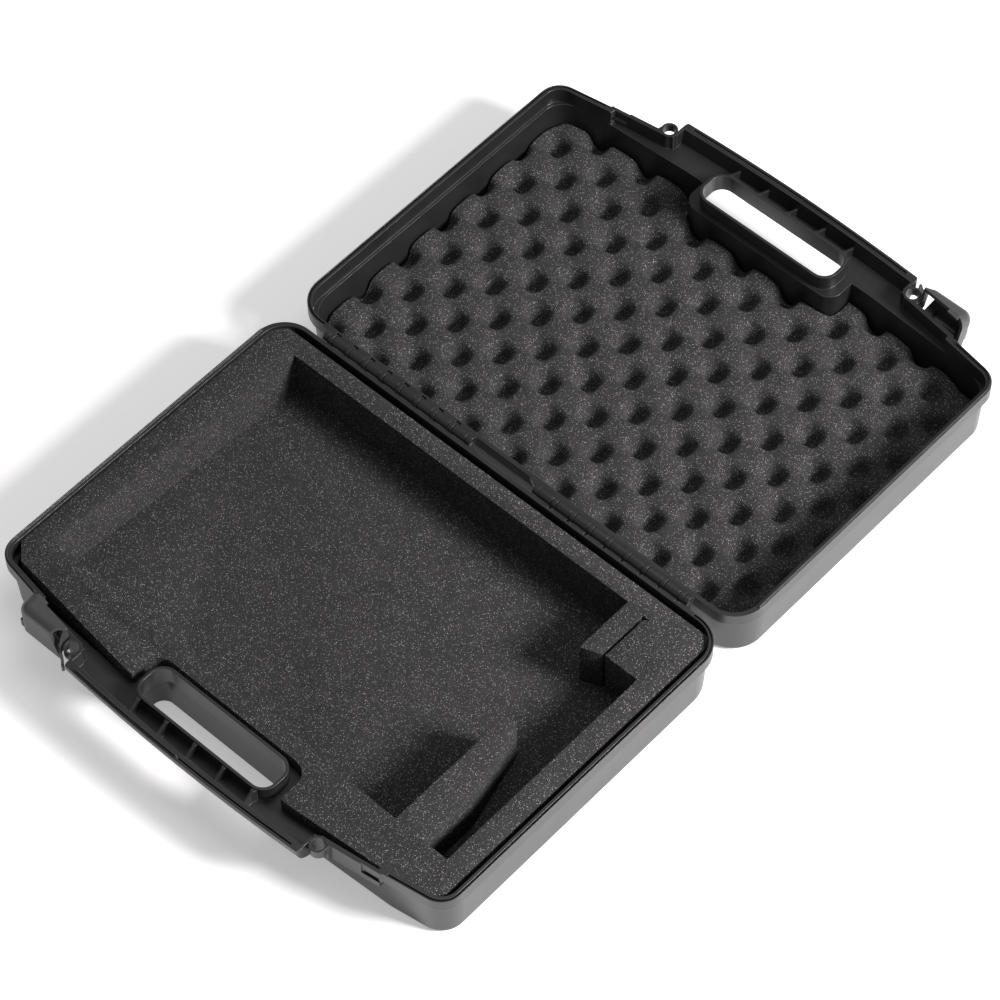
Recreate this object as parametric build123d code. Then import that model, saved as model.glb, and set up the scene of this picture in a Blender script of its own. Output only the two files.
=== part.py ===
from build123d import *
import math
import os

# Laptop hard case, lying open flat.  Millimetres, +Z up, floor at Z = 0.
# X runs along the hinge, the base lies at -Y and the lid at +Y of the hinge axis.
# Base and lid are one and the same moulding, turned half a turn about Z.
# Shell coordinates: hinge axis on the X axis, rim plane at z = 0, bowl at -z, handle at +y.

# --- whole shell -------------------------------------------------------------------------
shell_height = 60.0          # hinge plane above the floor
rim_drop = 0.2               # each rim stands this far below the hinge plane, for the closed gap
floor_thickness = 3.0
ledge_depth = 16.0           # step inside the walls, and floor of the handle channel
web_thickness = 3.0
draft_angle = 3.4
outer_floor_fillet = 6.0

# --- rim band ----------------------------------------------------------------------------
band_height = 12.5
band_half_width = 245.0
band_rear = 5.7
band_rear_radius = 30.0
band_front_radius = 20.0
band_corner_y = 333.0        # where the side line meets the front line
front_break_x = 189.0        # where the front line meets the latch recess
front_break_y = 342.3
recess_end_x = 186.6
recess_end_y = 344.9
recess_slope = 0.141         # the recess wall runs outward towards the handle
recess_wall = 3.8
recess_inner_end_x = 183.5   # step on the inside of the rim
rim_width = 5.0
rim_width_rear = 3.6
rim_inner_rear_radius = 25.0
rim_inner_front_radius = 15.0

# --- lower bowl --------------------------------------------------------------------------
bowl_half_width = 242.5
bowl_rear = 7.2
bowl_rear_radius = 33.0
bowl_front_radius = 24.0
bowl_corner_y = 330.9
bowl_break_y = 339.5
bowl_front_x = 100.0
bowl_front_y = 344.2
pocket_half_width = 237.5
pocket_rear = 11.0
pocket_rear_radius = 29.0
pocket_front_radius = 21.0
pocket_corner_y = 329.0
pocket_break_x = 190.0
pocket_break_y = 336.5
pocket_front_x = 100.0
pocket_front_y = 341.0
front_blend = 60.0

# --- handle ------------------------------------------------------------------------------
handle_half_length = 127.5
handle_front_y = 376.2
handle_end_y = 372.3
handle_end_wall = 2.3
handle_corner_radius = 8.0
handle_wall_top = 7.5
handle_wall_foot = 10.6
hole_half_length = 71.0
hole_rear_y = 319.5
hole_front_y = 351.0
hole_radius = 12.0
collar_wall = 2.4
collar_drop = 1.0
grip_radius = 16.0           # round of the handle's underside
tower_half_width = 82.3      # step in the bowl over the finger notch
tower_rear = 313.8
tower_radius = 14.0
notch_wall = 3.0
mouth_radius = 8.0
rib_pitch = 31.3
rib_foot_width = 5.0
rib_foot_length = 4.0
rib_width = 2.0
rib_root_drop = 2.5
rib_tip_drop = 9.0

# --- tongue and groove -------------------------------------------------------------------
groove_inset = 0.9
groove_width = 1.5
groove_depth = 3.0
groove_end_x = 192.0
groove_rear_x = 209.0
tongue_width = 1.0
tongue_height = 2.2
tongue_rear_y = 32.0
handle_groove_inset = 2.1
handle_groove_end_x = 119.0
seam_gap = 1.5

# --- padlock eyes ------------------------------------------------------------------------
eye_x = 134.2
eye_y = 356.2
eye_radius = 7.6
eye_wall = 2.0
eye_height = 8.8
eye_foot_half_width = 8.3    # the eye widens where it leaves the recess wall
eye_deep_y = 354.0           # up to here the eye goes down to the ledge, as the channel's wall

# --- hinge -------------------------------------------------------------------------------
knuckle_radius = 5.0
ring_radius = 5.4
hinge_pin_radius = 1.6
hinge_running = 0.06         # radial clearance of the knuckles that turn on the pin
knuckle_gap = 0.75           # side clearance between neighbouring knuckles
ring_first_x = 57.0
ring_pitch = 19.3
ring_count = 8
ring_width = 4.0
group_inner_x = 39.6
bracket_foot_x = 21.0
bracket_head_x = 34.5
gusset_head_x = 199.5
gusset_foot_x = 205.5
arm_depth = 5.0
slot_side_gap = 0.8
slot_end_y = 7.6
slot_depth = 4.5

# --- latch -------------------------------------------------------------------------------
latch_pivot_y = 355.0
latch_pivot_z = -12.0
latch_pin_radius = 1.5
latch_running = 0.06
latch_near_x = 152.0
latch_foot_near_x = 143.0    # the outer face runs on nearer to the eye at its foot
latch_far_x = 191.0
latch_outer_y = 363.2
latch_top_z = 12.0
latch_foot_z = -19.0
latch_wall = 3.0
latch_top_round = 8.0
latch_end_round = 10.0
lip_clearance = 0.5
lip_end_x = 143.2            # thin horn of the top plate, beside the eye
lip_horn_width = 2.0
bite_x = 141.0
bite_radius = 11.6           # hollow in the near end of the top plate
tooth_near_x = 173.0
tooth_far_x = 184.5
tooth_bite = 2.6
tooth_lead = 1.6             # the tooth's top falls by this much towards its tip
window_clearance = 0.6       # round the tooth, above and below it
window_side_gap = 1.2
window_pocket_depth = 1.0
window_pocket_near_x = 170.3
lug_radius = 4.5
lug_thickness = 3.0
lug_near_x = 157.0
lug_far_x = 182.8
lug_gap = 0.3
barrel_near_x = 149.0
hook_gap = 1.6               # hook of the latch round its own padlock eye
hook_wall = 2.0
hook_arc_end = 75.0          # degrees
hook_tip_x = 129.4
hook_tip_y = 372.2
hook_foot_z = -10.0
hook_low_top_z = -3.0
base_latch_rest = 0.0        # degrees that each latch stands open at rest
lid_latch_rest = 20.0

# --- foam --------------------------------------------------------------------------------
foam_top = 3.5
pad_thickness = 6.0
sheet_gap = 1.5              # cut sheets clear the walls by this much at the floor
notch_gap = 1.0              # foam round the step over the finger notch
foam_rear_y = 14.0
foam_right_x = 235.0
foam_right_corner_y = 322.0
foam_right_break_x = 224.0
foam_right_front_y = 334.5
foam_left_x = 239.5
foam_left_corner_y = 312.0
foam_left_break_x = 226.0
foam_left_front_y = 325.0
foam_middle_x = 90.0
foam_middle_front_y = 345.5
laptop_rear_y = 31.0
laptop_front_left_y = 294.0
laptop_front_right_y = 299.0
laptop_left_rear_x = 207.0
laptop_left_front_x = 221.0
laptop_right_x = 161.0
adapter_rear_y = 81.0
adapter_right_x = 215.0
cable_left_rear_x = 172.0
cable_left_front_x = 190.0
cable_widens_y = 245.0
cable_front_y = 299.0
block_rear_y = 174.0
divider_front_y = 89.0
slit_x = 180.0
slit_width = 3.0
slit_rear_y = 33.0
slit_hook_length = 5.0
lid_foam_top = 36.0
pit_depth = 14.0
pit_half_width = 16.0
pit_floor_half_width = 3.0
pit_pitch_x = 51.0
pit_pitch_y = 50.2
pit_first_x = -3.0
pit_first_y = 157.0
pit_row_turn = 1.4           # degrees
pit_column_turn = 3.4

os.makedirs("parts", exist_ok=True)


def recess_y(x):
    """Outer face of the recess wall at distance x from the middle."""
    return recess_end_y + (recess_end_x - x) * recess_slope


def outline(corners):
    """Rounded outline, symmetric about x = 0, from (x, y, radius) corners of its +X half."""
    left = [(-x, y, r) for x, y, r in reversed(corners)]
    ring = list(corners) + left
    sketch = Sketch() + Polygon(*[(x, y) for x, y, _ in ring], align=None)
    for x, y, r in ring:
        if r > 0:
            corner = sketch.vertices().sort_by_distance(Vector(x, y, 0))[0]
            sketch = fillet(corner, r)
    return sketch


def plain(points):
    """Flat polygon from its corner points."""
    return Sketch() + Polygon(*points, align=None)


def prism(sketch, low, high):
    """Upright prism between two heights."""
    return extrude(Pos(0, 0, low) * sketch, amount=high - low, dir=(0, 0, 1))


def drafted(sketch, top, depth):
    """Prism hung below a height, with sides that lean inward towards the floor."""
    return extrude(Pos(0, 0, top) * sketch, amount=depth, dir=(0, 0, -1), taper=draft_angle)


def side_profile(points, x0, x1):
    """Prism along X from a profile of (y, z) points."""
    sketch = Plane.YZ * plain(points)
    return Pos(x0, 0, 0) * extrude(sketch, amount=x1 - x0, dir=(1, 0, 0))


def front_profile(points, y0, y1):
    """Prism along Y from a profile of (x, z) points."""
    sketch = Plane.XZ * plain(points)
    return Pos(0, y0, 0) * extrude(sketch, amount=y1 - y0, dir=(0, 1, 0))


def block(x0, x1, y0, y1, z0, z1):
    """Box from its limits."""
    size = Box(x1 - x0, y1 - y0, z1 - z0)
    return Pos((x0 + x1) / 2, (y0 + y1) / 2, (z0 + z1) / 2) * size


def rod(radius, x0, x1, y=0.0, z=0.0):
    """Round bar along X."""
    bar = Rot(0, 90, 0) * Cylinder(radius, x1 - x0)
    return Pos((x0 + x1) / 2, y, z) * bar


def post(radius, x, y, z0, z1):
    """Upright round bar."""
    return Pos(x, y, (z0 + z1) / 2) * Cylinder(radius, z1 - z0)


def rounded_rect(x0, x1, y0, y1, radius):
    """Rectangle with round corners from its limits."""
    return Pos((x0 + x1) / 2, (y0 + y1) / 2) * RectangleRounded(x1 - x0, y1 - y0, radius)


# The handle's long front edge is a very shallow arc.
handle_sag = handle_front_y - handle_end_y
handle_arc = (handle_half_length ** 2 + handle_sag ** 2) / (2 * handle_sag)
handle_arc_y = handle_front_y - handle_arc
rim_top = -rim_drop
web_foot = -ledge_depth - web_thickness
cavity_floor = -(shell_height - floor_thickness)
collar_front = hole_front_y + collar_wall
channel_end = handle_half_length - handle_end_wall
floor_inset = (-ledge_depth - cavity_floor) * math.tan(math.radians(draft_angle))


def arc_band(inset, width, x0, x1, z0, z1):
    """Strip that follows the handle's front edge, inset from it."""
    ring = Cylinder(handle_arc - inset, z1 - z0) - Cylinder(handle_arc - inset - width, z1 - z0)
    ring = Pos(0, handle_arc_y, (z0 + z1) / 2) * ring
    return ring & block(x0, x1, 300, 400, z0, z1)


def band_outline():
    """Outside of the rim band, recess walls included, handle left out."""
    return outline([
        (band_half_width, band_rear, band_rear_radius),
        (band_half_width, band_corner_y, band_front_radius),
        (front_break_x, front_break_y, 0),
        (recess_end_x, recess_end_y, 0),
        (eye_x, recess_y(eye_x), 0),
    ])


def rim_void_outline():
    """Inside of the rim band."""
    inner_x = band_half_width - rim_width
    slope = (front_break_y - band_corner_y) / (band_half_width - front_break_x)
    break_y = front_break_y - rim_width
    corner_y = break_y - slope * (inner_x - front_break_x)
    step_x = recess_inner_end_x
    return outline([
        (inner_x, band_rear + rim_width_rear, rim_inner_rear_radius),
        (inner_x, corner_y, rim_inner_front_radius),
        (step_x + 1, break_y, 0),
        (step_x, recess_y(step_x) - recess_wall, 0),
        (eye_x, recess_y(eye_x) - recess_wall, 0),
    ])


def bowl_outline():
    """Outside of the lower bowl just below the band."""
    return outline([
        (bowl_half_width, bowl_rear, bowl_rear_radius),
        (bowl_half_width, bowl_corner_y, bowl_front_radius),
        (front_break_x, bowl_break_y, front_blend),
        (bowl_front_x, bowl_front_y, 0),
    ])


def pocket_outline(inset=0.0):
    """Inside of the lower bowl at the ledge, or a smaller outline like it."""
    return outline([
        (pocket_half_width - inset, pocket_rear + inset, pocket_rear_radius - inset),
        (pocket_half_width - inset, pocket_corner_y - inset, pocket_front_radius - inset),
        (pocket_break_x, pocket_break_y - inset, front_blend),
        (pocket_front_x, pocket_front_y - inset, 0),
    ])


def tower_plan(gap=0.0):
    """Step that stands into the bowl over the finger notch, grown by a gap."""
    half = tower_half_width + gap
    return rounded_rect(-half, half, tower_rear - gap, 420, tower_radius + gap)


def pocket_void():
    """Space inside the bowl below the ledge, with the finger notch standing into it."""
    depth = -ledge_depth - cavity_floor
    void = drafted(pocket_outline(), -ledge_depth, depth)
    return void - prism(tower_plan(), -shell_height, 0)


def rim_void():
    """Space inside the rim above the ledge, the handle channel included."""
    upper = prism(rim_void_outline(), -ledge_depth, 5)
    top_radius = handle_arc - handle_wall_top
    foot_radius = handle_arc - handle_wall_foot
    bowl = Cone(foot_radius, top_radius, ledge_depth)
    bowl = Pos(0, handle_arc_y, -ledge_depth / 2) * bowl
    bowl = bowl + Pos(0, handle_arc_y, 2.5) * Cylinder(top_radius, 5.2)
    void = upper + (bowl & block(-channel_end, channel_end, 330, 400, -ledge_depth, 5))
    for side in (-1, 1):
        void = void + prism(eye_corner(side), -ledge_depth, 5)
    return void


def eye_corner(side):
    """Corner of the channel between the recess wall and the padlock eye."""
    wall_y = recess_y(eye_x) - recess_wall
    turn_x = eye_x - eye_radius * 0.66
    turn_y = eye_y - eye_radius * 0.75
    return plain([
        (side * (channel_end - 1), wall_y - 1),
        (side * (eye_x - 1), wall_y - 1),
        (side * turn_x, turn_y),
        (side * (eye_x - eye_radius + 0.9), eye_y - 0.46 * eye_radius),
        (side * (channel_end - 1), eye_y),
    ])


def finger_notch():
    """Open space under the handle, with rounded mouth corners."""
    half = tower_half_width - notch_wall
    cut = rounded_rect(-half, half, tower_rear + notch_wall, 420, tower_radius - notch_wall)
    mouth_y = bowl_front_y + 1.0
    for side in (-1, 1):
        x = side * (half + mouth_radius)
        flare = Pos(side * (half + mouth_radius / 2), mouth_y) * Rectangle(mouth_radius, 2 * mouth_radius)
        flare = flare - Pos(x, mouth_y - mouth_radius) * Circle(mouth_radius)
        cut = cut + flare
    return prism(cut, -shell_height - 1, web_foot)


def recess_strip(side):
    """Wall of a latch recess below the band, down to the underside of the ledge."""
    bar_end = handle_half_length - 1
    plan = plain([
        (side * bar_end, 330),
        (side * recess_end_x, 330),
        (side * recess_end_x, recess_end_y),
        (side * eye_x, recess_y(eye_x)),
        (side * bar_end, recess_y(eye_x)),
    ])
    return prism(plan, web_foot, -band_height)


def padlock_eye(side):
    """Upright eye beside the end of the handle, before its bore."""
    x = side * eye_x
    tangent = eye_radius * math.sqrt(0.5)
    foot_y = recess_y(eye_x) - 1
    flank = plain([
        (x - eye_foot_half_width, foot_y),
        (x + eye_foot_half_width, foot_y),
        (x + tangent, eye_y + tangent),
        (x - tangent, eye_y + tangent),
    ])
    eye = post(eye_radius, x, eye_y, web_foot, rim_top) + prism(flank, web_foot, rim_top)
    return eye - block(x - 20, x + 20, eye_deep_y, 400, web_foot - 1, -eye_height)


def handle_bar():
    """Solid half of the grip, round underneath."""
    bar = Cylinder(handle_arc, rim_top - web_foot)
    foot = bar.edges().filter_by(GeomType.CIRCLE).sort_by(Axis.Z)[0]
    bar = Pos(0, handle_arc_y, (rim_top + web_foot) / 2) * fillet(foot, grip_radius)
    half = handle_half_length
    plan = rounded_rect(-half, half, 300, handle_front_y + 0.1, handle_corner_radius)
    return bar & prism(plan, web_foot, rim_top) & block(-half, half, 330, 400, web_foot, rim_top)


def groove_ring(low, high, inset, width):
    """Ring that follows the rim band at a given inset."""
    outer = offset(band_outline(), amount=-inset, kind=Kind.INTERSECTION)
    inner = offset(band_outline(), amount=-inset - width, kind=Kind.INTERSECTION)
    return prism(outer, low, high) - prism(inner, low - 1, high + 1)


def groove():
    """Groove in the rim over the -X half."""
    low = rim_top - groove_depth
    ring = groove_ring(low, 1, groove_inset, groove_width)
    side = block(-260, -groove_end_x, 150, 360, low, 1)
    rear = block(-260, -groove_rear_x, 0, 150, low, 1)
    front = arc_band(handle_groove_inset, groove_width, -handle_groove_end_x, 0, low, 1)
    return ring & (side + rear), front


def tongue():
    """Tongue that stands on the rim over the +X half."""
    play = (groove_width - tongue_width) / 2
    high = rim_top + tongue_height
    ring = groove_ring(rim_top - 1, high, groove_inset + play, tongue_width)
    side = block(groove_end_x + 2, 260, tongue_rear_y, 360, -5, 5)
    end = handle_groove_end_x - seam_gap
    front = arc_band(handle_groove_inset + play, tongue_width, seam_gap, end, rim_top - 1, high)
    return ring & side, front


def ring_spans():
    """Limits along X of the narrow hinge rings."""
    spans = []
    for index in range(ring_count):
        middle = ring_first_x + ring_pitch * index
        spans.append((middle - ring_width / 2, middle + ring_width / 2))
    return spans


def barrel_spans():
    """Limits along X of the long hinge barrels that fill between the rings."""
    spans = []
    start = group_inner_x + knuckle_gap
    for low, high in ring_spans():
        spans.append((start, low - knuckle_gap))
        start = high + knuckle_gap
    spans.append((start, gusset_head_x))
    return spans


def knuckle(x0, x1, radius):
    """One hinge knuckle with the arm that joins it to the rear wall."""
    arm = block(x0, x1, 0, band_rear + 2, rim_top - arm_depth, rim_top)
    return rod(radius, x0, x1) + arm


def hinge_parts():
    """Knuckles, end bracket and end gusset of one shell."""
    parts = []
    for x0, x1 in barrel_spans():
        parts.append(knuckle(-x1, -x0, knuckle_radius))
    for x0, x1 in ring_spans():
        parts.append(knuckle(x0, x1, ring_radius))
    parts.append(knuckle(bracket_head_x, group_inner_x, knuckle_radius))
    bracket = plain([
        (bracket_foot_x, band_rear + 1),
        (group_inner_x, band_rear + 1),
        (group_inner_x, 0),
        (bracket_head_x, 0),
    ])
    parts.append(prism(bracket, rim_top - arm_depth, rim_top))
    gusset = plain([
        (-gusset_foot_x, band_rear + 1),
        (-gusset_head_x + 4, band_rear + 1),
        (-gusset_head_x + 4, 0),
        (-gusset_head_x, 0),
    ])
    parts.append(prism(gusset, rim_top - arm_depth, rim_top))
    return parts


def hinge_slots():
    """Notches in the rear rim of the barrel side, one for the end of each ring."""
    slots = []
    for x0, x1 in ring_spans():
        near = -x1 - slot_side_gap
        far = -x0 + slot_side_gap
        slots.append(block(near, far, band_rear - 1.5, slot_end_y, -slot_depth, 1))
    return slots


def latch_lug(x0):
    """Lug on the recess wall that carries the latch pin."""
    x1 = x0 + lug_thickness
    rear = recess_y(x1) - 2
    foot = latch_pivot_z - lug_radius
    arm = block(x0, x1, rear, latch_pivot_y, foot, latch_pivot_z + lug_radius)
    return arm + rod(lug_radius, x0, x1, latch_pivot_y, latch_pivot_z)


def handle_ribs():
    """Five gussets across the handle channel, between collar and front wall."""
    root_y = collar_front - 1
    tip_y = handle_front_y - handle_wall_top + 0.5
    side = side_profile([
        (root_y, -ledge_depth - 1),
        (tip_y, -ledge_depth - 1),
        (tip_y, -rib_tip_drop),
        (collar_front + 2, -rib_root_drop),
        (root_y, -rib_root_drop),
    ], -80, 80)
    ribs = []
    for index in range(-2, 3):
        x = index * rib_pitch
        wide = rib_foot_width / 2
        thin = rib_width / 2
        plan = plain([
            (x - wide, root_y),
            (x + wide, root_y),
            (x + thin, collar_front + rib_foot_length),
            (x + thin, tip_y),
            (x - thin, tip_y),
            (x - thin, collar_front + rib_foot_length),
        ])
        ribs.append(prism(plan, -ledge_depth - 1, -1) & side)
    return ribs


def catch_window():
    """Shallow pocket in the recess wall and the slot for the other half's latch tooth."""
    low = -latch_top_z - window_clearance
    high = -latch_top_z + latch_wall + window_clearance
    near = tooth_near_x - window_side_gap
    far = tooth_far_x + window_side_gap
    slot = block(-far, -near, front_break_y - rim_width, 360, low, high)
    pocket = plain([
        (-window_pocket_near_x, recess_y(window_pocket_near_x) - window_pocket_depth),
        (-window_pocket_near_x, 360),
        (-recess_end_x - 0.5, 360),
        (-recess_end_x - 0.5, recess_end_y - window_pocket_depth),
    ])
    return slot + prism(pocket, low, 1)


def make_shell():
    """The one moulding that serves as base and as lid."""
    body = prism(band_outline(), -band_height, rim_top)
    bowl = drafted(bowl_outline(), -band_height, shell_height - band_height)
    floor_edges = bowl.faces().sort_by(Axis.Z)[0].edges()
    body = body + fillet(floor_edges, outer_floor_fillet)
    for side in (-1, 1):
        body = body + recess_strip(side)
    body = body + handle_bar()
    body = body - finger_notch()
    body = body - rim_void()
    body = body - pocket_void()
    half = hole_half_length + collar_wall
    collar_plan = rounded_rect(-half, half, hole_rear_y - collar_wall, collar_front, hole_radius + collar_wall)
    body = body + prism(collar_plan, web_foot, rim_top - collar_drop)
    for rib in handle_ribs():
        body = body + rib
    half = hole_half_length
    hole = rounded_rect(-half, half, hole_rear_y, hole_front_y, hole_radius)
    body = body - prism(hole, web_foot - 5, 5)
    for side in (-1, 1):
        body = body + padlock_eye(side)
    for side in (-1, 1):
        body = body - post(eye_radius - eye_wall, side * eye_x, eye_y, web_foot - 1, 1)
    for cut in groove():
        body = body - cut
    for rail in tongue():
        body = body + rail
    for piece in hinge_parts():
        body = body + piece
    for slot in hinge_slots():
        body = body - slot
    for x in (lug_near_x, lug_far_x):
        body = body + latch_lug(x)
    return body - catch_window()


def latch_cover():
    """Bent cover plate of a latch with its closed far end, in the closed position."""
    shells = []
    for wall in (0.0, latch_wall):
        near = lip_end_x - 10 * wall
        body = block(near, latch_far_x - wall, 330, latch_outer_y - wall, latch_foot_z - 5 * wall, latch_top_z - wall)
        top_edge = body.edges().filter_by(Axis.X).group_by(Axis.Y)[-1].sort_by(Axis.Z)[-1]
        body = fillet(top_edge, latch_top_round - wall)
        upright = body.faces().sort_by(Axis.X)[-1].edges().filter_by(Axis.Z).sort_by(Axis.Y)[-1]
        shells.append(fillet(upright, latch_end_round - wall))
    return shells[0] - shells[1]


def near_end_bite():
    """Everything that the hollow near end of the cover leaves out."""
    horn_y = recess_y(lip_end_x) + lip_clearance + lip_horn_width
    slope_z = latch_top_z - latch_top_round
    bite = post(bite_radius, bite_x, horn_y + bite_radius, slope_z, latch_top_z + 1)
    lower = front_profile([
        (lip_end_x - 1, latch_foot_z - 1),
        (latch_foot_near_x, latch_foot_z - 1),
        (latch_near_x, slope_z),
        (lip_end_x - 1, slope_z),
    ], 330, 400)
    return bite + lower


def lip_trim(clearance):
    """Everything nearer to the shell than the lip line."""
    x0, x1 = 120.0, 220.0
    plan = plain([
        (x0, 300),
        (x1, 300),
        (x1, recess_y(x1) + clearance),
        (x0, recess_y(x0) + clearance),
    ])
    return prism(plan, -60, 60)


def latch_hook():
    """Thin wall that runs from the lip round the padlock eye to the end of the handle."""
    inner = eye_radius + hook_gap
    outer = inner + hook_wall
    ring = post(outer, eye_x, eye_y, hook_foot_z, latch_top_z) - post(inner, eye_x, eye_y, hook_foot_z - 1, 60)
    turn_end = math.radians(hook_arc_end)
    reach = 3 * outer
    sector = plain([
        (eye_x, eye_y),
        (eye_x + reach, eye_y),
        (eye_x + reach, eye_y + reach),
        (eye_x + reach * math.cos(turn_end), eye_y + reach * math.sin(turn_end)),
    ])
    rear = block(eye_x + inner, eye_x + outer, front_break_y, eye_y, hook_foot_z, latch_top_z)
    start_x = eye_x + (inner + hook_wall / 2) * math.cos(turn_end)
    start_y = eye_y + (inner + hook_wall / 2) * math.sin(turn_end)
    run_x = hook_tip_x - start_x
    run_y = hook_tip_y - start_y
    half = hook_wall / 2 / math.hypot(run_x, run_y)
    tip = plain([
        (start_x - run_y * half, start_y + run_x * half),
        (start_x + run_y * half, start_y - run_x * half),
        (hook_tip_x + run_y * half, hook_tip_y - run_x * half),
        (hook_tip_x - run_y * half, hook_tip_y + run_x * half),
    ])
    hook = (ring & prism(sector, -60, 60)) + rear + prism(tip, hook_foot_z, latch_top_z)
    hook = hook + post(hook_wall / 2, start_x, start_y, hook_foot_z, latch_top_z)
    hook = hook + post(hook_wall * 0.65, hook_tip_x, hook_tip_y, hook_foot_z, latch_top_z)
    slope = side_profile([
        (eye_y - 3.5, latch_top_z + 1),
        (eye_y + 6.0, hook_low_top_z),
        (400, hook_low_top_z),
        (400, latch_top_z + 1),
    ], 120, 220)
    return hook - slope


def make_latch():
    """Latch in its closed position, on the +X side of the shell."""
    body = latch_cover() - near_end_bite()
    body = body + latch_hook()
    body = body - lip_trim(lip_clearance)
    swing_y = latch_pivot_y - 8
    body = body - block(latch_near_x, latch_far_x + 1, 330, swing_y, latch_foot_z - 1, latch_pivot_z + 1)
    tooth_plan = plain([
        (tooth_near_x, recess_y(tooth_near_x) - tooth_bite),
        (tooth_far_x, recess_y(tooth_far_x) - tooth_bite),
        (tooth_far_x, recess_y(tooth_far_x) + 2),
        (tooth_near_x, recess_y(tooth_near_x) + 2),
    ])
    tooth_tip_y = recess_y(tooth_far_x) - tooth_bite
    tooth_root_y = recess_y(tooth_near_x) + lip_clearance
    lead = side_profile([
        (tooth_tip_y, latch_top_z + 1),
        (tooth_tip_y, latch_top_z - tooth_lead),
        (tooth_root_y, latch_top_z),
        (tooth_root_y, latch_top_z + 1),
    ], tooth_near_x - 1, tooth_far_x + 1)
    body = body + (prism(tooth_plan, latch_top_z - latch_wall, latch_top_z) - lead)
    foot = latch_pivot_z - lug_radius
    head = latch_pivot_z + lug_radius
    for x0 in (lug_near_x, lug_far_x):
        x1 = x0 + lug_thickness
        body = body - rod(lug_radius + lug_gap, x0 - lug_gap, x1 + lug_gap, latch_pivot_y, latch_pivot_z)
    for x0, x1 in latch_barrels():
        arm = block(x0, x1, latch_pivot_y, latch_outer_y - 1, foot, head)
        body = body + arm + rod(lug_radius, x0, x1, latch_pivot_y, latch_pivot_z)
    return body


def latch_barrels():
    """Limits along X of the latch's hinge barrels, beside and between the lugs."""
    return [
        (barrel_near_x, lug_near_x - lug_gap),
        (lug_near_x + lug_thickness + lug_gap, lug_far_x - lug_gap),
        (lug_far_x + lug_thickness + lug_gap, latch_far_x - latch_wall + 0.5),
    ]


def write(shape, name):
    """Write one node."""
    solids = shape.solids()
    if len(solids) == 1:
        shape = solids[0]
    export_step(shape, "parts/" + name + ".step")
    print(name, len(solids), round(sum(s.volume for s in solids) / 1000, 1), "cm3")


turn = Rot(0, 0, 180)
lift = Pos(0, 0, shell_height)

shell = make_shell()
pin_inner_x = group_inner_x - 3.0
pin_outer_x = gusset_head_x - 1.0
pin_left = rod(hinge_pin_radius, -pin_outer_x, -pin_inner_x)
pin_right = rod(hinge_pin_radius, pin_inner_x, pin_outer_x)
reach = gusset_head_x + 1
fixed_bore = rod(hinge_pin_radius, -reach, -pin_inner_x) + rod(hinge_pin_radius, pin_inner_x, reach)
loose = hinge_pin_radius + hinge_running
turning_bore = rod(loose, -reach, -pin_inner_x + 0.3) + rod(loose, pin_inner_x - 0.3, reach)

pin_near_x = barrel_near_x + 0.5
pin_far_x = latch_far_x - latch_wall - 0.5
latch_bore = rod(latch_pin_radius, pin_near_x - 1, pin_far_x, latch_pivot_y, latch_pivot_z)
latch_pin = rod(latch_pin_radius, pin_near_x, pin_far_x, latch_pivot_y, latch_pivot_z)
barrel_bore = rod(latch_pin_radius + latch_running, pin_near_x - 1, pin_far_x + 0.3, latch_pivot_y, latch_pivot_z)
shell = shell - latch_bore
latch = make_latch() - barrel_bore

write(lift * turn * (shell - fixed_bore), "base_shell")
write(lift * (shell - turning_bore), "lid_shell")
write(lift * pin_left, "hinge_pin_left")
write(lift * pin_right, "hinge_pin_right")
write(lift * turn * latch_pin, "base_latch_pin")
write(lift * latch_pin, "lid_latch_pin")

pivot = Axis((0, latch_pivot_y, latch_pivot_z), (1, 0, 0))
write(lift * turn * latch.rotate(pivot, -base_latch_rest), "base_latch")
write(lift * latch.rotate(pivot, -lid_latch_rest), "lid_latch")

# --- foam --------------------------------------------------------------------------------
foam_foot = cavity_floor + pad_thickness
foam_plan = plain([
    (-foam_left_x, -foam_rear_y),
    (foam_right_x, -foam_rear_y),
    (foam_right_x, -foam_right_corner_y),
    (foam_right_break_x, -foam_right_front_y),
    (foam_middle_x, -foam_middle_front_y),
    (-foam_middle_x, -foam_middle_front_y + 4),
    (-foam_left_break_x, -foam_left_front_y),
    (-foam_left_x, -foam_left_corner_y),
])
foam = prism(foam_plan, foam_foot, -foam_top) & (turn * (pocket_void() + rim_void()))
foam = foam - turn * prism(tower_plan(notch_gap), -shell_height, 0)
laptop_plan = plain([
    (-laptop_left_rear_x, -laptop_rear_y),
    (laptop_right_x, -laptop_rear_y),
    (laptop_right_x, -laptop_front_right_y),
    (-laptop_left_front_x, -laptop_front_left_y),
])
foam = foam - prism(laptop_plan, foam_foot - 1, 1)
adapter_plan = plain([
    (laptop_right_x - 1, -divider_front_y),
    (slit_x + slit_width / 2, -adapter_rear_y),
    (adapter_right_x, -adapter_rear_y),
    (adapter_right_x, -cable_front_y),
    (cable_left_front_x, -cable_front_y),
    (cable_left_front_x, -cable_widens_y),
    (cable_left_rear_x, -block_rear_y),
    (laptop_right_x - 1, -block_rear_y),
])
foam = foam - prism(adapter_plan, foam_foot - 1, 1)
slit_plan = plain([
    (slit_x - slit_width / 2, -divider_front_y),
    (slit_x + slit_width / 2, -divider_front_y),
    (slit_x + slit_width / 2, -slit_rear_y - slit_width),
    (slit_x + slit_width / 2 + slit_hook_length, -slit_rear_y),
    (slit_x - slit_width / 2, -slit_rear_y),
])
foam = foam - prism(slit_plan, foam_foot - 1, 1)
write(lift * foam, "base_foam")

sheet_plan = pocket_outline(floor_inset + sheet_gap) - tower_plan(sheet_gap)
pad = turn * prism(sheet_plan, cavity_floor, foam_foot)
write(lift * pad, "base_pad")

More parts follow.
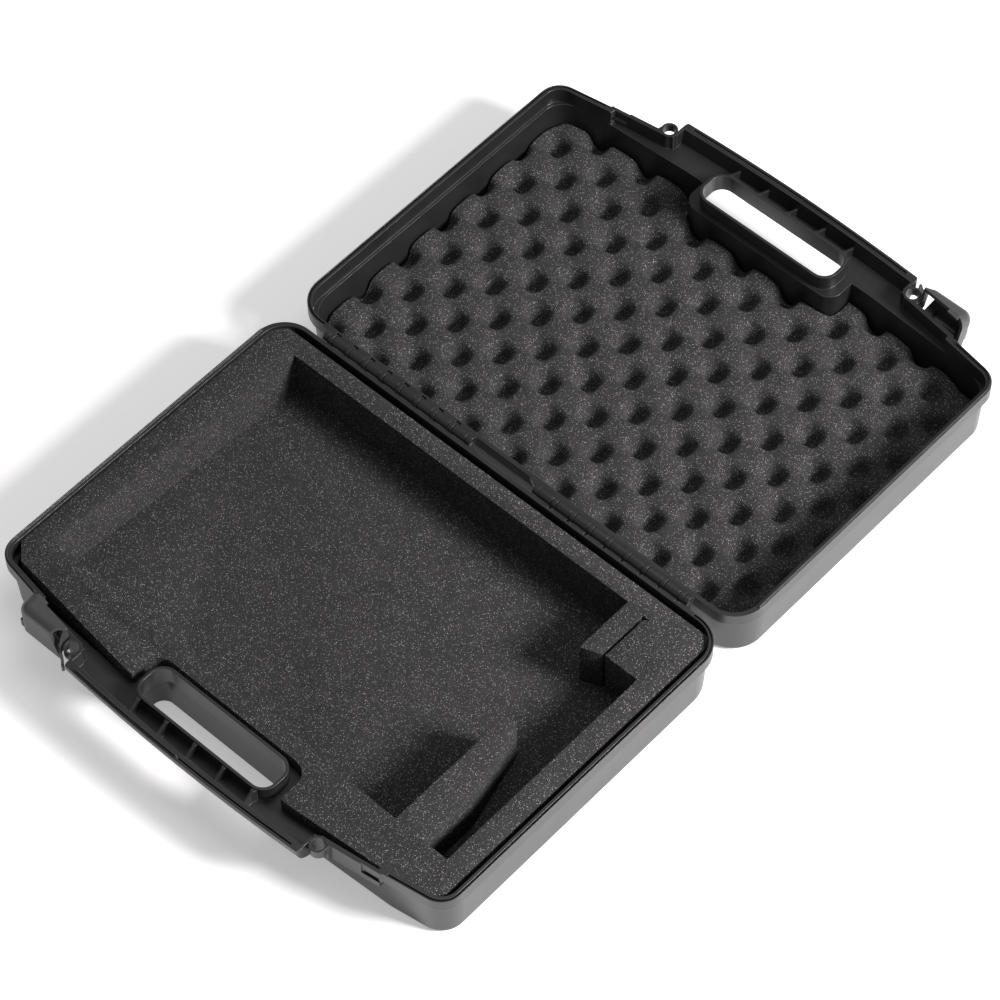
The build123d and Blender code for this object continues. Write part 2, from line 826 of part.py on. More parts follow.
# The egg-crate sheet of the lid: rows of pits, every second row half a pitch over.
row_x = pit_pitch_x * math.cos(math.radians(pit_row_turn))
row_y = pit_pitch_x * math.sin(math.radians(pit_row_turn))
column_x = -pit_pitch_y * math.sin(math.radians(pit_column_turn))
column_y = pit_pitch_y * math.cos(math.radians(pit_column_turn))
margin = pit_half_width - pit_floor_half_width
pit = Wedge(
    2 * pit_half_width, pit_depth, 2 * pit_half_width,
    margin, margin, 2 * pit_half_width - margin, 2 * pit_half_width - margin)
pit = Rot(-90, 0, 0) * pit
pits = []
for column in range(-6, 7):
    for row in range(-4, 5):
        for half in (0.0, 0.5):
            x = pit_first_x + (column + half) * row_x + (row + half) * column_x
            y = pit_first_y + (column + half) * row_y + (row + half) * column_y
            if abs(x) < pocket_half_width and 0 < y < pocket_break_y:
                pits.append(Pos(x, y, -lid_foam_top - pit_depth / 2) * pit)
egg = prism(sheet_plan, cavity_floor, -lid_foam_top) - pits
write(lift * egg, "lid_foam")
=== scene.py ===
"""Looks of a moulded laptop case that lies open flat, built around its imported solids."""

import logging
import math
from dataclasses import dataclass
from enum import Enum
from typing import Dict, List, Sequence, Tuple

import bmesh
import bpy
import numpy as np
from mathutils import Matrix, Vector


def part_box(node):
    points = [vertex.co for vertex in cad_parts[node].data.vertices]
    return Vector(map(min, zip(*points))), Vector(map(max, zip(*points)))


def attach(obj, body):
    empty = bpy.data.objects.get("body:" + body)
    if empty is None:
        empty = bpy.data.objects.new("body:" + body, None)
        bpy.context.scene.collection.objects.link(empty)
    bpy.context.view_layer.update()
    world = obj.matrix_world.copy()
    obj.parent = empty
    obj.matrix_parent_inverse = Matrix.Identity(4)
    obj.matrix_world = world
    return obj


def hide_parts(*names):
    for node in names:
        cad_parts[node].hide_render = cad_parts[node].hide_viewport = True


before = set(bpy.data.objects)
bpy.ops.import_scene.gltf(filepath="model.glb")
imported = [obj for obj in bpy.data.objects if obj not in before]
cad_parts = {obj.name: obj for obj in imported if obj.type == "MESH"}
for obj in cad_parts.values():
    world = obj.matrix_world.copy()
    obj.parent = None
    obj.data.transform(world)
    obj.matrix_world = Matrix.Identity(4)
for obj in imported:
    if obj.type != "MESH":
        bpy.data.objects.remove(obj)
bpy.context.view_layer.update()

LOG = logging.getLogger("laptop_case")
MM_PER_M = 1000.0
WHITE = (1.0, 1.0, 1.0, 1.0)
BLACK = (0.0, 0.0, 0.0, 1.0)
OFF_AXIS_TURN = (0.63, 0.41, 0.87)
BEVEL_SAMPLES = 4
BEVEL_SEGMENTS = 2
MERGE_DISTANCE = 0.00002
FLAT_ANGLE = math.radians(0.5)
SHARP_ANGLE = math.radians(40)

Colour = Tuple[float, float, float, float]
Place = Tuple[float, float, float]


class Body(Enum):
    """Moving bodies that the foam rides on."""

    BASE = "base"
    LID = "lid"


# --- shader helpers ----------------------------------------------------------------------


class NodeSheet:
    """Small helper that adds and joins shader nodes in one tree."""

    def __init__(self, tree: bpy.types.NodeTree) -> None:
        """Keeps the tree.

        Args:
            tree: The node tree that new nodes go into.
        """
        self.tree = tree

    def add(self, kind: str, **settings: object) -> bpy.types.Node:
        """Adds a node and sets its properties.

        Args:
            kind: Blender's type name of the node.
            settings: Properties of the node by name.

        Returns:
            The new node.
        """
        node = self.tree.nodes.new(kind)
        for name, value in settings.items():
            setattr(node, name, value)
        return node

    def join(self, source: bpy.types.NodeSocket, target: bpy.types.NodeSocket) -> None:
        """Links an output to an input."""
        self.tree.links.new(source, target)

    def math(self, operation: str, first: object, second: object = None) -> bpy.types.NodeSocket:
        """Adds a Math node.

        Args:
            operation: The Math node's operation.
            first: A number or an output socket.
            second: A number, an output socket or nothing.

        Returns:
            The node's output socket.
        """
        node = self.add("ShaderNodeMath", operation=operation)
        for index, value in enumerate((first, second)):
            if value is None:
                continue
            if isinstance(value, (int, float)):
                node.inputs[index].default_value = value
            else:
                self.join(value, node.inputs[index])
        return node.outputs[0]

    def span(self, value: bpy.types.NodeSocket, low: float, high: float,
             to_low: float = 0.0, to_high: float = 1.0) -> bpy.types.NodeSocket:
        """Maps a value from one range to another, clamped.

        Args:
            value: The value's socket.
            low: Start of the range that is read.
            high: End of the range that is read.
            to_low: Result at the start.
            to_high: Result at the end.

        Returns:
            The mapped value's socket.
        """
        node = self.add("ShaderNodeMapRange")
        self.join(value, node.inputs["Value"])
        node.inputs["From Min"].default_value = low
        node.inputs["From Max"].default_value = high
        node.inputs["To Min"].default_value = to_low
        node.inputs["To Max"].default_value = to_high
        return node.outputs["Result"]

    def noise(self, place: bpy.types.NodeSocket, scale: object, detail: float,
              roughness: float = 0.5) -> bpy.types.NodeSocket:
        """Adds a noise texture.

        Args:
            place: Coordinates that it reads.
            scale: A number or an output socket.
            detail: Number of octaves.
            roughness: Share that each finer octave keeps.

        Returns:
            The noise's socket, from 0 to 1.
        """
        node = self.add("ShaderNodeTexNoise")
        self.join(place, node.inputs["Vector"])
        if isinstance(scale, float):
            node.inputs["Scale"].default_value = scale
        else:
            self.join(scale, node.inputs["Scale"])
        node.inputs["Detail"].default_value = detail
        node.inputs["Roughness"].default_value = roughness
        return node.outputs["Fac"]

    def blend(self, factor: bpy.types.NodeSocket, first: object,
              second: object) -> bpy.types.NodeSocket:
        """Mixes two colours.

        Args:
            factor: Socket with the share of the second colour.
            first: A colour or a socket.
            second: A colour or a socket.

        Returns:
            The mixed colour's socket.
        """
        node = self.add("ShaderNodeMix", data_type="RGBA")
        self.join(factor, node.inputs["Factor"])
        for value, target in ((first, node.inputs[6]), (second, node.inputs[7])):
            if isinstance(value, tuple):
                target.default_value = value
            else:
                self.join(value, target)
        return node.outputs[2]


def new_group(name: str, inputs: Sequence[Tuple[str, float]],
              outputs: Sequence[str]) -> Tuple[bpy.types.NodeTree, NodeSheet, Dict[str, object]]:
    """Starts a shader node group with number sockets.

    Args:
        name: Name of the group.
        inputs: Names and default values of the inputs.
        outputs: Names of the outputs.

    Returns:
        The tree, its helper and the group's inner input and output sockets by name.
    """
    tree = bpy.data.node_groups.new(name, "ShaderNodeTree")
    for label, value in inputs:
        socket = tree.interface.new_socket(label, in_out="INPUT", socket_type="NodeSocketFloat")
        socket.default_value = value
    for label in outputs:
        tree.interface.new_socket(label, in_out="OUTPUT", socket_type="NodeSocketFloat")
    sheet = NodeSheet(tree)
    start = sheet.add("NodeGroupInput")
    end = sheet.add("NodeGroupOutput")
    ports: Dict[str, object] = {label: start.outputs[label] for label, _ in inputs}
    ports.update({label: end.inputs[label] for label in outputs})
    return tree, sheet, ports


def turned_place(sheet: NodeSheet) -> bpy.types.NodeSocket:
    """Adds Object coordinates turned off the axes, so that no flat face lies along a noise's grid.

    Args:
        sheet: Helper of the tree that gets the nodes.

    Returns:
        The turned coordinates' socket.
    """
    turn = sheet.add("ShaderNodeMapping")
    turn.inputs["Rotation"].default_value = OFF_AXIS_TURN
    sheet.join(sheet.add("ShaderNodeTexCoord").outputs["Object"], turn.inputs["Vector"])
    return turn.outputs["Vector"]


@dataclass(frozen=True)
class MouldGrain:
    """Fine grain of a spark-eroded mould, with slow tone changes."""

    fine_detail: float = 3.0
    fine_roughness: float = 0.65
    slow_scale: float = 22.0
    slow_detail: float = 4.0
    noise_low: float = 0.3
    noise_high: float = 0.7
    slow_share: float = 0.5

    def build(self) -> bpy.types.NodeTree:
        """Builds the group.

        Returns:
            Group with Size in millimetres, and Height and Tone outputs.
        """
        tree, sheet, ports = new_group("mould_grain", [("Size", 0.6)], ["Height", "Tone"])
        place = turned_place(sheet)
        scale = sheet.math("DIVIDE", MM_PER_M, ports["Size"])
        fine = sheet.noise(place, scale, self.fine_detail, self.fine_roughness)
        slow = sheet.noise(place, self.slow_scale, self.slow_detail)
        sheet.join(fine, ports["Height"])
        slow_tone = sheet.span(slow, self.noise_low, self.noise_high)
        fine_tone = sheet.span(fine, self.noise_low, self.noise_high)
        slow_part = sheet.math("MULTIPLY", slow_tone, self.slow_share)
        fine_part = sheet.math("MULTIPLY", fine_tone, 1 - self.slow_share)
        sheet.join(sheet.math("ADD", slow_part, fine_part), ports["Tone"])
        return tree


@dataclass(frozen=True)
class EdgeHighlightMask:
    """Mask of edges for a painted highlight, broken up by noise."""

    patch_scale: float = 90.0
    patch_detail: float = 5.0
    flat_cosine: float = 0.98
    sharp_cosine: float = 0.78
    patch_low: float = 0.25
    patch_high: float = 0.7
    # Least share of the painted edge highlight where the noise breaks it up.
    least_highlight: float = 0.35

    def build(self) -> bpy.types.NodeTree:
        """Builds the group.

        Returns:
            Group with Width in millimetres and a Mask output.
        """
        tree, sheet, ports = new_group("painted_edge_highlight", [("Width", 0.8)], ["Mask"])
        rounded = sheet.add("ShaderNodeBevel", samples=BEVEL_SAMPLES)
        sheet.join(sheet.math("DIVIDE", ports["Width"], MM_PER_M), rounded.inputs["Radius"])
        plain = sheet.add("ShaderNodeNewGeometry")
        dot = sheet.add("ShaderNodeVectorMath", operation="DOT_PRODUCT")
        sheet.join(rounded.outputs["Normal"], dot.inputs[0])
        sheet.join(plain.outputs["Normal"], dot.inputs[1])
        edge = sheet.span(dot.outputs["Value"], self.flat_cosine, self.sharp_cosine)
        patch = sheet.noise(turned_place(sheet), self.patch_scale, self.patch_detail)
        broken = sheet.span(patch, self.patch_low, self.patch_high, self.least_highlight, 1.0)
        sheet.join(sheet.math("MULTIPLY", edge, broken), ports["Mask"])
        return tree


@dataclass(frozen=True)
class FoamCells:
    """Open cells of cut foam, with painted glints where a few cell walls catch the light."""

    fine_ratio: float = 0.9
    fine_detail: float = 4.0
    fine_roughness: float = 0.7
    slow_scale: float = 60.0
    slow_detail: float = 3.0
    speck_rim: float = 0.42
    speck_core: float = 0.12
    chosen_low: float = 0.60
    chosen_high: float = 0.98
    tone_low: float = 0.28
    tone_high: float = 0.72
    fine_share: float = 0.7

    def build(self) -> bpy.types.NodeTree:
        """Builds the group.

        Returns:
            Group with Size in millimetres, and Height, Speck and Tone outputs.
        """
        tree, sheet, ports = new_group("foam_cells", [("Size", 1.1)], ["Height", "Speck", "Tone"])
        place = turned_place(sheet)
        scale = sheet.math("DIVIDE", MM_PER_M, ports["Size"])
        cells = sheet.add("ShaderNodeTexVoronoi", feature="F1")
        sheet.join(place, cells.inputs["Vector"])
        sheet.join(scale, cells.inputs["Scale"])
        fine_scale = sheet.math("MULTIPLY", scale, self.fine_ratio)
        fine = sheet.noise(place, fine_scale, self.fine_detail, self.fine_roughness)
        slow = sheet.noise(place, self.slow_scale, self.slow_detail)
        pick = sheet.add("ShaderNodeSeparateColor")
        sheet.join(cells.outputs["Color"], pick.inputs[0])
        near = sheet.span(cells.outputs["Distance"], self.speck_rim, self.speck_core)
        chosen = sheet.span(pick.outputs[0], self.chosen_low, self.chosen_high)
        # Mask of the painted glints on a few chosen cells.
        sheet.join(sheet.math("MULTIPLY", near, chosen), ports["Speck"])
        sheet.join(fine, ports["Height"])
        fine_tone = sheet.span(fine, self.tone_low, self.tone_high)
        fine_part = sheet.math("MULTIPLY", fine_tone, self.fine_share)
        slow_part = sheet.math("MULTIPLY", slow, 1 - self.fine_share)
        sheet.join(sheet.math("ADD", fine_part, slow_part), ports["Tone"])
        return tree


class GroupShelf:
    """Keeps each shared node group, built once."""

    def __init__(self) -> None:
        """Builds all shared groups."""
        self.grain = MouldGrain().build()
        self.edge_highlight = EdgeHighlightMask().build()
        self.cells = FoamCells().build()


# --- finishes ----------------------------------------------------------------------------


def start_material(name: str) -> Tuple[bpy.types.Material, NodeSheet, bpy.types.Node]:
    """Makes a material with a Principled shader.

    Args:
        name: Name of the material.

    Returns:
        The material, its node helper and the shader.
    """
    material = bpy.data.materials.new(name)
    material.use_nodes = True
    sheet = NodeSheet(material.node_tree)
    shader = material.node_tree.nodes["Principled BSDF"]
    return material, sheet, shader


@dataclass(frozen=True)
class MouldedPlastic:
    """Grained polypropylene, with a painted highlight along its edges."""

    name: str
    dark: Colour = (0.0120, 0.0117, 0.0120, 1.0)
    light: Colour = (0.0185, 0.0181, 0.0183, 1.0)
    # Colour of the painted highlight along the edges.
    highlight_colour: Colour = (0.095, 0.092, 0.092, 1.0)
    rough_low: float = 0.27
    rough_high: float = 0.38
    grain_mm: float = 0.7
    edge_mm: float = 0.7
    bump: float = 0.18
    bump_depth: float = 0.0002
    sheen_level: float = 0.62

    def build(self, groups: GroupShelf) -> bpy.types.Material:
        """Builds the material.

        Args:
            groups: The shared node groups.

        Returns:
            The finished material.
        """
        material, sheet, shader = start_material(self.name)
        grain = sheet.add("ShaderNodeGroup", node_tree=groups.grain)
        grain.inputs["Size"].default_value = self.grain_mm
        edge_highlight = sheet.add("ShaderNodeGroup", node_tree=groups.edge_highlight)
        edge_highlight.inputs["Width"].default_value = self.edge_mm
        tone = sheet.blend(grain.outputs["Tone"], self.dark, self.light)
        # Painted highlight: the edges turn lighter, broken up by noise.
        colour = sheet.blend(edge_highlight.outputs["Mask"], tone, self.highlight_colour)
        sheet.join(colour, shader.inputs["Base Color"])
        rough = sheet.span(grain.outputs["Tone"], 0.0, 1.0, self.rough_low, self.rough_high)
        sheet.join(rough, shader.inputs["Roughness"])
        shader.inputs["Specular IOR Level"].default_value = self.sheen_level
        rounded = sheet.add("ShaderNodeBevel", samples=BEVEL_SAMPLES)
        rounded.inputs["Radius"].default_value = self.edge_mm / MM_PER_M
        bump = sheet.add("ShaderNodeBump")
        bump.inputs["Strength"].default_value = self.bump
        bump.inputs["Distance"].default_value = self.bump_depth
        sheet.join(grain.outputs["Height"], bump.inputs["Height"])
        sheet.join(rounded.outputs["Normal"], bump.inputs["Normal"])
        sheet.join(bump.outputs["Normal"], shader.inputs["Normal"])
        return material


@dataclass(frozen=True)
class RibbedPlastic(MouldedPlastic):
    """Latch plastic, with faint ribs across its top face."""

    rib_mm: float = 1.9
    rib_tone: float = 0.16
    rib_foot: float = 0.55
    rib_crest: float = 0.95
    waver: float = 0.15
    waves_per_scale: float = 3.18

    def build(self, groups: GroupShelf) -> bpy.types.Material:
        """Builds the material.

        Args:
            groups: The shared node groups.

        Returns:
            The finished material.
        """
        material = super().build(groups)
        sheet = NodeSheet(material.node_tree)
        shader = material.node_tree.nodes["Principled BSDF"]
        place = sheet.add("ShaderNodeTexCoord").outputs["Object"]
        ribs = sheet.add("ShaderNodeTexWave", bands_direction="X")
        sheet.join(place, ribs.inputs["Vector"])
        ribs.inputs["Scale"].default_value = MM_PER_M / (self.rib_mm * self.waves_per_scale)
        ribs.inputs["Distortion"].default_value = self.waver
        ribs_tone = sheet.span(
            ribs.outputs["Fac"], self.rib_foot, self.rib_crest, 0.0, self.rib_tone)
        plain = shader.inputs["Base Color"].links[0].from_socket
        ribbed = sheet.blend(ribs_tone, plain, BLACK)
        sheet.join(ribbed, shader.inputs["Base Color"])
        return material


@dataclass(frozen=True)
class CutFoam:
    """Charcoal open-cell foam with light specks that are painted glints."""

    name: str
    pore: Colour = (0.0045, 0.0045, 0.0048, 1.0)
    wall: Colour = (0.068, 0.065, 0.065, 1.0)
    # Colour of the painted glints of the cell walls.
    speck: Colour = (0.60, 0.58, 0.57, 1.0)
    cell_mm: float = 1.25
    bump: float = 0.9
    depth: float = 0.0009
    roughness: float = 0.95
    sheen_level: float = 0.15

    def build(self, groups: GroupShelf) -> bpy.types.Material:
        """Builds the material.

        Args:
            groups: The shared node groups.

        Returns:
            The finished material.
        """
        material, sheet, shader = start_material(self.name)
        cells = sheet.add("ShaderNodeGroup", node_tree=groups.cells)
        cells.inputs["Size"].default_value = self.cell_mm
        tone = sheet.blend(cells.outputs["Tone"], self.pore, self.wall)
        # Painted glints: light specks where a few cell walls would catch the light.
        colour = sheet.blend(cells.outputs["Speck"], tone, self.speck)
        sheet.join(colour, shader.inputs["Base Color"])
        shader.inputs["Roughness"].default_value = self.roughness
        shader.inputs["Specular IOR Level"].default_value = self.sheen_level
        bump = sheet.add("ShaderNodeBump")
        bump.inputs["Strength"].default_value = self.bump
        bump.inputs["Distance"].default_value = self.depth
        sheet.join(cells.outputs["Height"], bump.inputs["Height"])
        sheet.join(bump.outputs["Normal"], shader.inputs["Normal"])
        return material


@dataclass(frozen=True)
class DrawnSteel:
    """Plain steel wire."""

    name: str
    dark: Colour = (0.46, 0.46, 0.47, 1.0)
    light: Colour = (0.58, 0.58, 0.58, 1.0)
    rough_low: float = 0.28
    rough_high: float = 0.42
    grain_mm: float = 0.4

    def build(self, groups: GroupShelf) -> bpy.types.Material:
        """Builds the material.

        Args:
            groups: The shared node groups.

        Returns:
            The finished material.
        """
        material, sheet, shader = start_material(self.name)
        grain = sheet.add("ShaderNodeGroup", node_tree=groups.grain)
        grain.inputs["Size"].default_value = self.grain_mm
        tone = sheet.blend(grain.outputs["Tone"], self.dark, self.light)
        sheet.join(tone, shader.inputs["Base Color"])
        shader.inputs["Metallic"].default_value = 1.0
        rough = sheet.span(grain.outputs["Tone"], 0.0, 1.0, self.rough_low, self.rough_high)
        sheet.join(rough, shader.inputs["Roughness"])
        return material


# --- mesh helpers ------------------------------------------------------------------------


def clear_selection() -> None:
    """Leaves edit mode and deselects everything."""
    if bpy.context.object and bpy.context.object.mode != "OBJECT":
        bpy.ops.object.mode_set(mode="OBJECT")
    bpy.ops.object.select_all(action="DESELECT")


def make_active(piece: bpy.types.Object) -> None:
    """Selects one object alone and makes it active."""
    clear_selection()
    piece.select_set(True)
    bpy.context.view_layer.objects.active = piece


def settle(piece: bpy.types.Object) -> None:
    """Puts an object's place and scale into its mesh."""
    make_active(piece)
    bpy.ops.object.transform_apply(location=True, rotation=True, scale=True)


def apply_modifier(piece: bpy.types.Object, modifier: bpy.types.Modifier) -> None:
    """Applies one modifier."""
    make_active(piece)
    bpy.ops.object.modifier_apply(modifier=modifier.name)


def copy_of_node(node: str, name: str) -> bpy.types.Object:
    """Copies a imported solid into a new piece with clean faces.

    Args:
        node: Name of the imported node.
        name: Name of the new piece.

    Returns:
        The new piece.
    """
    piece = bpy.data.objects.new(name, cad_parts[node].data.copy())
    bpy.context.scene.collection.objects.link(piece)
    piece.data.materials.clear()
    make_active(piece)
    bpy.ops.object.mode_set(mode="EDIT")
    bpy.ops.mesh.select_all(action="SELECT")
    bpy.ops.mesh.remove_doubles(threshold=MERGE_DISTANCE)
    bpy.ops.mesh.dissolve_limited(angle_limit=FLAT_ANGLE)
    bpy.ops.mesh.normals_make_consistent(inside=False)
    bpy.ops.object.mode_set(mode="OBJECT")
    return piece


def soften_edges(piece: bpy.types.Object, width: float) -> None:
    """Rounds a piece's sharp edges with a bevel.

    Args:
        piece: The piece.
        width: Width of the bevel in metres.
    """
    bevel = piece.modifiers.new("edge", "BEVEL")
    bevel.width = width
    bevel.segments = BEVEL_SEGMENTS
    bevel.limit_method = "ANGLE"
    bevel.angle_limit = SHARP_ANGLE
    apply_modifier(piece, bevel)


def smooth(piece: bpy.types.Object, degrees: float) -> None:
    """Shades a piece smooth up to an angle."""
    make_active(piece)
    bpy.ops.object.shade_smooth_by_angle(angle=math.radians(degrees))


def dress(piece: bpy.types.Object, material: bpy.types.Material) -> None:
    """Gives a piece one material."""
    piece.data.materials.clear()
    piece.data.materials.append(material)


# --- sub-assemblies ----------------------------------------------------------------------


@dataclass
class HardParts:
    """Shells, latches and pins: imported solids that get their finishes."""

    shell: MouldedPlastic = MouldedPlastic("shell_plastic_black")
    latch: MouldedPlastic = RibbedPlastic(
        "latch_plastic_grey",
        dark=(0.040, 0.039, 0.040, 1.0),
        light=(0.058, 0.057, 0.058, 1.0),
        rough_low=0.36,
        rough_high=0.46,
    )
    steel: DrawnSteel = DrawnSteel("pin_steel_wire")

    def build(self, groups: GroupShelf) -> None:
        """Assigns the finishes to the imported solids.

        Args:
            groups: The shared node groups.
        """
        shell = self.shell.build(groups)
        latch = self.latch.build(groups)
        steel = self.steel.build(groups)
        for name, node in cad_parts.items():
            if name.endswith("_shell"):
                dress(node, shell)
            elif name.endswith("_latch"):
                dress(node, latch)
            elif "pin" in name:
                dress(node, steel)
            LOG.info("dressed %s", name)


@dataclass
class EggCrateSheet:
    """Convoluted foam sheet in the lid, with rows of round hollows."""

    row_step: Tuple[float, float] = (0.0510, 0.0013)
    column_step: Tuple[float, float] = (-0.0030, 0.0502)
    first_pit: Tuple[float, float] = (-0.0030, 0.1570)
    pit_floor: float = 0.0030
    bowl_share: float = 0.62
    bowl_start: float = 0.52
    bowl_end: float = 0.97
    swell: float = 1.9
    step: float = 0.0020
    wave: float = 0.0006
    wave_turns: Tuple[float, float] = (61.0, 47.0)
    wave_starts: Tuple[float, float] = (1.3, 0.4)
    margin: float = 0.004
    foot_drop: float = 0.002
    trim_rise: float = 0.005
    foot_band: float = 0.0005
    smooth_degrees: float = 50.0
    cell_mm: float = 0.95

    def height(self, x: np.ndarray, y: np.ndarray, low: float, high: float) -> np.ndarray:
        """Works out the sheet's surface height, with every second row of pits half a step over.

        Args:
            x: Places along the hinge.
            y: Places across it.
            low: Height of the sheet's foot.
            high: Height of its crests.

        Returns:
            Heights at those places.
        """
        dx = x - self.first_pit[0]
        dy = y - self.first_pit[1]
        (ax, ay), (bx, by) = self.row_step, self.column_step
        cell = ax * by - ay * bx
        row = (dx * by - dy * bx) / cell
        column = (dy * ax - dx * ay) / cell
        ripple = np.cos(2 * math.pi * row) * np.cos(2 * math.pi * column)
        sink = (1 + ripple) / 2
        bowl = np.clip((sink - self.bowl_start) / (self.bowl_end - self.bowl_start), 0, 1)
        bowl = bowl * bowl * (3 - 2 * bowl)
        hollow = self.bowl_share * bowl + (1 - self.bowl_share) * sink ** self.swell
        (turn_x, turn_y), (start_x, start_y) = self.wave_turns, self.wave_starts
        uneven = self.wave * np.sin(dx * turn_x + start_x) * np.sin(dy * turn_y + start_y)
        crest = high - self.wave
        return crest - (crest - low - self.pit_floor) * hollow + uneven

    def outline_body(self, low: float, high: float) -> bpy.types.Object:
        """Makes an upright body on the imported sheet's outline, which trims the new one.

        Args:
            low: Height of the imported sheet's foot.
            high: Height that the body has to pass.

        Returns:
            The trimming body.
        """
        body = copy_of_node("lid_foam", "lid_foam_outline")
        make_active(body)
        mesh = bmesh.new()
        mesh.from_mesh(body.data)
        top_of_foot = low + self.foot_band
        upper = [face for face in mesh.faces if face.calc_center_median().z > top_of_foot]
        bmesh.ops.delete(mesh, geom=upper, context="FACES")
        mesh.to_mesh(body.data)
        mesh.free()
        bpy.ops.object.mode_set(mode="EDIT")
        bpy.ops.mesh.select_all(action="SELECT")
        lift = {"value": (0, 0, high - low)}
        bpy.ops.mesh.extrude_region_move(TRANSFORM_OT_translate=lift)
        bpy.ops.mesh.select_all(action="SELECT")
        bpy.ops.mesh.normals_make_consistent(inside=False)
        bpy.ops.object.mode_set(mode="OBJECT")
        return body

    def build(self, groups: GroupShelf) -> bpy.types.Object:
        """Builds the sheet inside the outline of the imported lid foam.

        Args:
            groups: The shared node groups.

        Returns:
            The finished sheet.
        """
        low, high = (Vector(c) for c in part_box("lid_foam"))
        size = high - low
        middle = (low + high) / 2
        width, length = size.x + 2 * self.margin, size.y + 2 * self.margin
        foot = low.z - self.foot_drop
        clear_selection()
        bpy.ops.mesh.primitive_grid_add(
            x_subdivisions=int(width / self.step), y_subdivisions=int(length / self.step), size=1.0,
            location=(middle.x, middle.y, foot))
        sheet = bpy.context.object
        sheet.name = "lid_egg_crate_foam"
        sheet.scale = (width, length, 1.0)
        settle(sheet)
        bpy.ops.object.mode_set(mode="EDIT")
        bpy.ops.mesh.select_all(action="SELECT")
        bpy.ops.mesh.extrude_region_move(TRANSFORM_OT_translate={"value": (0, 0, size.z)})
        bpy.ops.object.mode_set(mode="OBJECT")
        count = len(sheet.data.vertices)
        points = np.empty(count * 3)
        sheet.data.vertices.foreach_get("co", points)
        points = points.reshape(-1, 3)
        top = points[:, 2] > foot + size.z / 2
        points[top, 2] = self.height(points[top, 0], points[top, 1], low.z, high.z)
        sheet.data.vertices.foreach_set("co", points.ravel())
        sheet.data.update()
        make_active(sheet)
        bpy.ops.object.mode_set(mode="EDIT")
        bpy.ops.mesh.select_all(action="SELECT")
        bpy.ops.mesh.normals_make_consistent(inside=False)
        bpy.ops.object.mode_set(mode="OBJECT")
        cutter = self.outline_body(low.z, high.z + self.trim_rise)
        trim = sheet.modifiers.new("outline", "BOOLEAN")
        trim.operation = "INTERSECT"
        trim.solver = "EXACT"
        trim.object = cutter
        apply_modifier(sheet, trim)
        bpy.data.objects.remove(cutter)
        smooth(sheet, self.smooth_degrees)
        dress(sheet, CutFoam("foam_charcoal_lid", cell_mm=self.cell_mm).build(groups))
        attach(sheet, Body.LID.value)
        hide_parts("lid_foam")
        LOG.info("built %s with %d faces", sheet.name, len(sheet.data.polygons))
        return sheet


@dataclass
class DieCutBlock:
    """Foam block in the base, with its pockets, and the pad under it."""

    block_edge: float = 0.0009
    pad_edge: float = 0.0007
    smooth_degrees: float = 35.0
    cell_mm: float = 1.0

    def build(self, groups: GroupShelf) -> List[bpy.types.Object]:
        """Builds both pieces.

        Args:
            groups: The shared node groups.

        Returns:
            The block and the pad.
        """
        foam = CutFoam("foam_charcoal_base", cell_mm=self.cell_mm).build(groups)
        pieces = []
        for node, name, edge in (
            ("base_foam", "base_cut_foam", self.block_edge),
            ("base_pad", "base_foam_pad", self.pad_edge),
        ):
            piece = copy_of_node(node, name)
            soften_edges(piece, edge)
            smooth(piece, self.smooth_degrees)
            dress(piece, foam)
            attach(piece, Body.BASE.value)
            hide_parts(node)
            pieces.append(piece)
            LOG.info("built %s with %d faces", name, len(piece.data.polygons))
        return pieces


# --- studio ------------------------------------------------------------------------------


@dataclass(frozen=True)
class SoftLamp:
    """Square soft lamp that points at the middle of the case."""

    name: str
    place: Place
    width: float
    power: float

    def build(self) -> None:
        """Adds the lamp."""
        light = bpy.data.lights.new(self.name, "AREA")
        light.shape = "SQUARE"
        light.size = self.width
        light.energy = self.power
        lamp = bpy.data.objects.new(self.name, light)
        lamp.location = self.place
        lamp.rotation_euler = (-Vector(self.place)).to_track_quat("-Z", "Y").to_euler()
        bpy.context.scene.collection.objects.link(lamp)


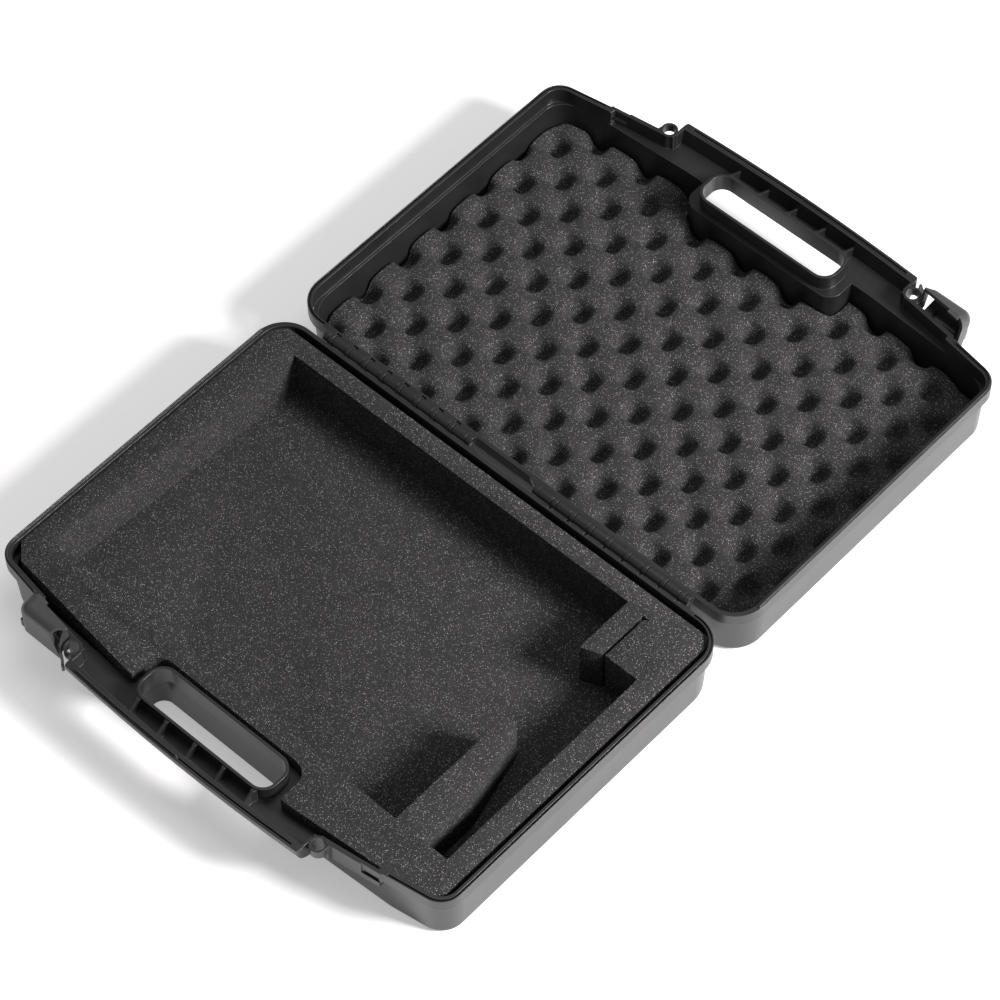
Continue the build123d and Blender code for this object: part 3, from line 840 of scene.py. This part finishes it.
@dataclass
class Studio:
    """Pale floor, soft lamps and the camera."""

    focal_mm: float = 149.4
    sensor_mm: float = 36.0
    far_clip: float = 50.0
    camera_at: Place = (1.35755, -1.41803, 2.78394)
    camera_right: Place = (0.736904, 0.675790, -0.016747)
    camera_down: Place = (0.544550, -0.608111, -0.577639)
    camera_ahead: Place = (-0.400547, 0.416545, -0.816121)
    floor_size: float = 12.0
    floor_colour: Colour = (0.88, 0.86, 0.86, 1.0)
    floor_roughness: float = 0.9
    floor_sheen: float = 0.1
    floor_lift: float = 0.36
    fill: float = 0.24
    key: SoftLamp = SoftLamp("key", (2.7, 0.9, 2.0), 0.85, 205.0)
    top: SoftLamp = SoftLamp("top", (0.2, 0.5, 3.0), 1.6, 18.0)

    def floor(self) -> None:
        """Builds the floor, a little brighter to the camera than the light alone makes it."""
        clear_selection()
        bpy.ops.mesh.primitive_plane_add(size=self.floor_size, location=(0.0, 0.0, 0.0))
        plane = bpy.context.object
        plane.name = "studio_floor"
        material = bpy.data.materials.new("studio_paper")
        material.use_nodes = True
        sheet = NodeSheet(material.node_tree)
        shader = material.node_tree.nodes["Principled BSDF"]
        shader.inputs["Base Color"].default_value = self.floor_colour
        shader.inputs["Roughness"].default_value = self.floor_roughness
        shader.inputs["Specular IOR Level"].default_value = self.floor_sheen
        glow = sheet.add("ShaderNodeEmission")
        glow.inputs["Color"].default_value = WHITE
        path = sheet.add("ShaderNodeLightPath")
        seen = sheet.math("MAXIMUM", path.outputs["Is Camera Ray"], path.outputs["Is Glossy Ray"])
        seen = sheet.math("MAXIMUM", seen, path.outputs["Is Transmission Ray"])
        sheet.join(sheet.math("MULTIPLY", seen, self.floor_lift), glow.inputs["Strength"])
        both = sheet.add("ShaderNodeAddShader")
        sheet.join(shader.outputs[0], both.inputs[0])
        sheet.join(glow.outputs[0], both.inputs[1])
        out = material.node_tree.nodes["Material Output"]
        sheet.join(both.outputs[0], out.inputs["Surface"])
        dress(plane, material)

    def camera(self) -> None:
        """Adds the camera."""
        data = bpy.data.cameras.new("camera")
        data.sensor_width = self.sensor_mm
        data.lens = self.focal_mm
        data.clip_end = self.far_clip
        camera = bpy.data.objects.new("camera", data)
        right = Vector(self.camera_right)
        up = -Vector(self.camera_down)
        back = -Vector(self.camera_ahead)
        turn = Matrix((right, up, back)).transposed().to_4x4()
        camera.matrix_world = Matrix.Translation(self.camera_at) @ turn
        bpy.context.scene.collection.objects.link(camera)
        bpy.context.scene.camera = camera

    def build(self) -> None:
        """Builds the whole studio."""
        world = bpy.data.worlds.new("studio_air")
        world.use_nodes = True
        air = world.node_tree.nodes["Background"]
        air.inputs["Color"].default_value = WHITE
        air.inputs["Strength"].default_value = self.fill
        bpy.context.scene.world = world
        bpy.context.scene.view_settings.view_transform = "Standard"
        self.floor()
        self.key.build()
        self.top.build()
        self.camera()
        LOG.info("built the studio")


def main() -> None:
    """Builds every sub-assembly in order."""
    logging.basicConfig(level=logging.INFO, format="%(name)s: %(message)s")
    groups = GroupShelf()
    HardParts().build(groups)
    EggCrateSheet().build(groups)
    DieCutBlock().build(groups)
    Studio().build()
    clear_selection()


if __name__ == "__main__":
    main()
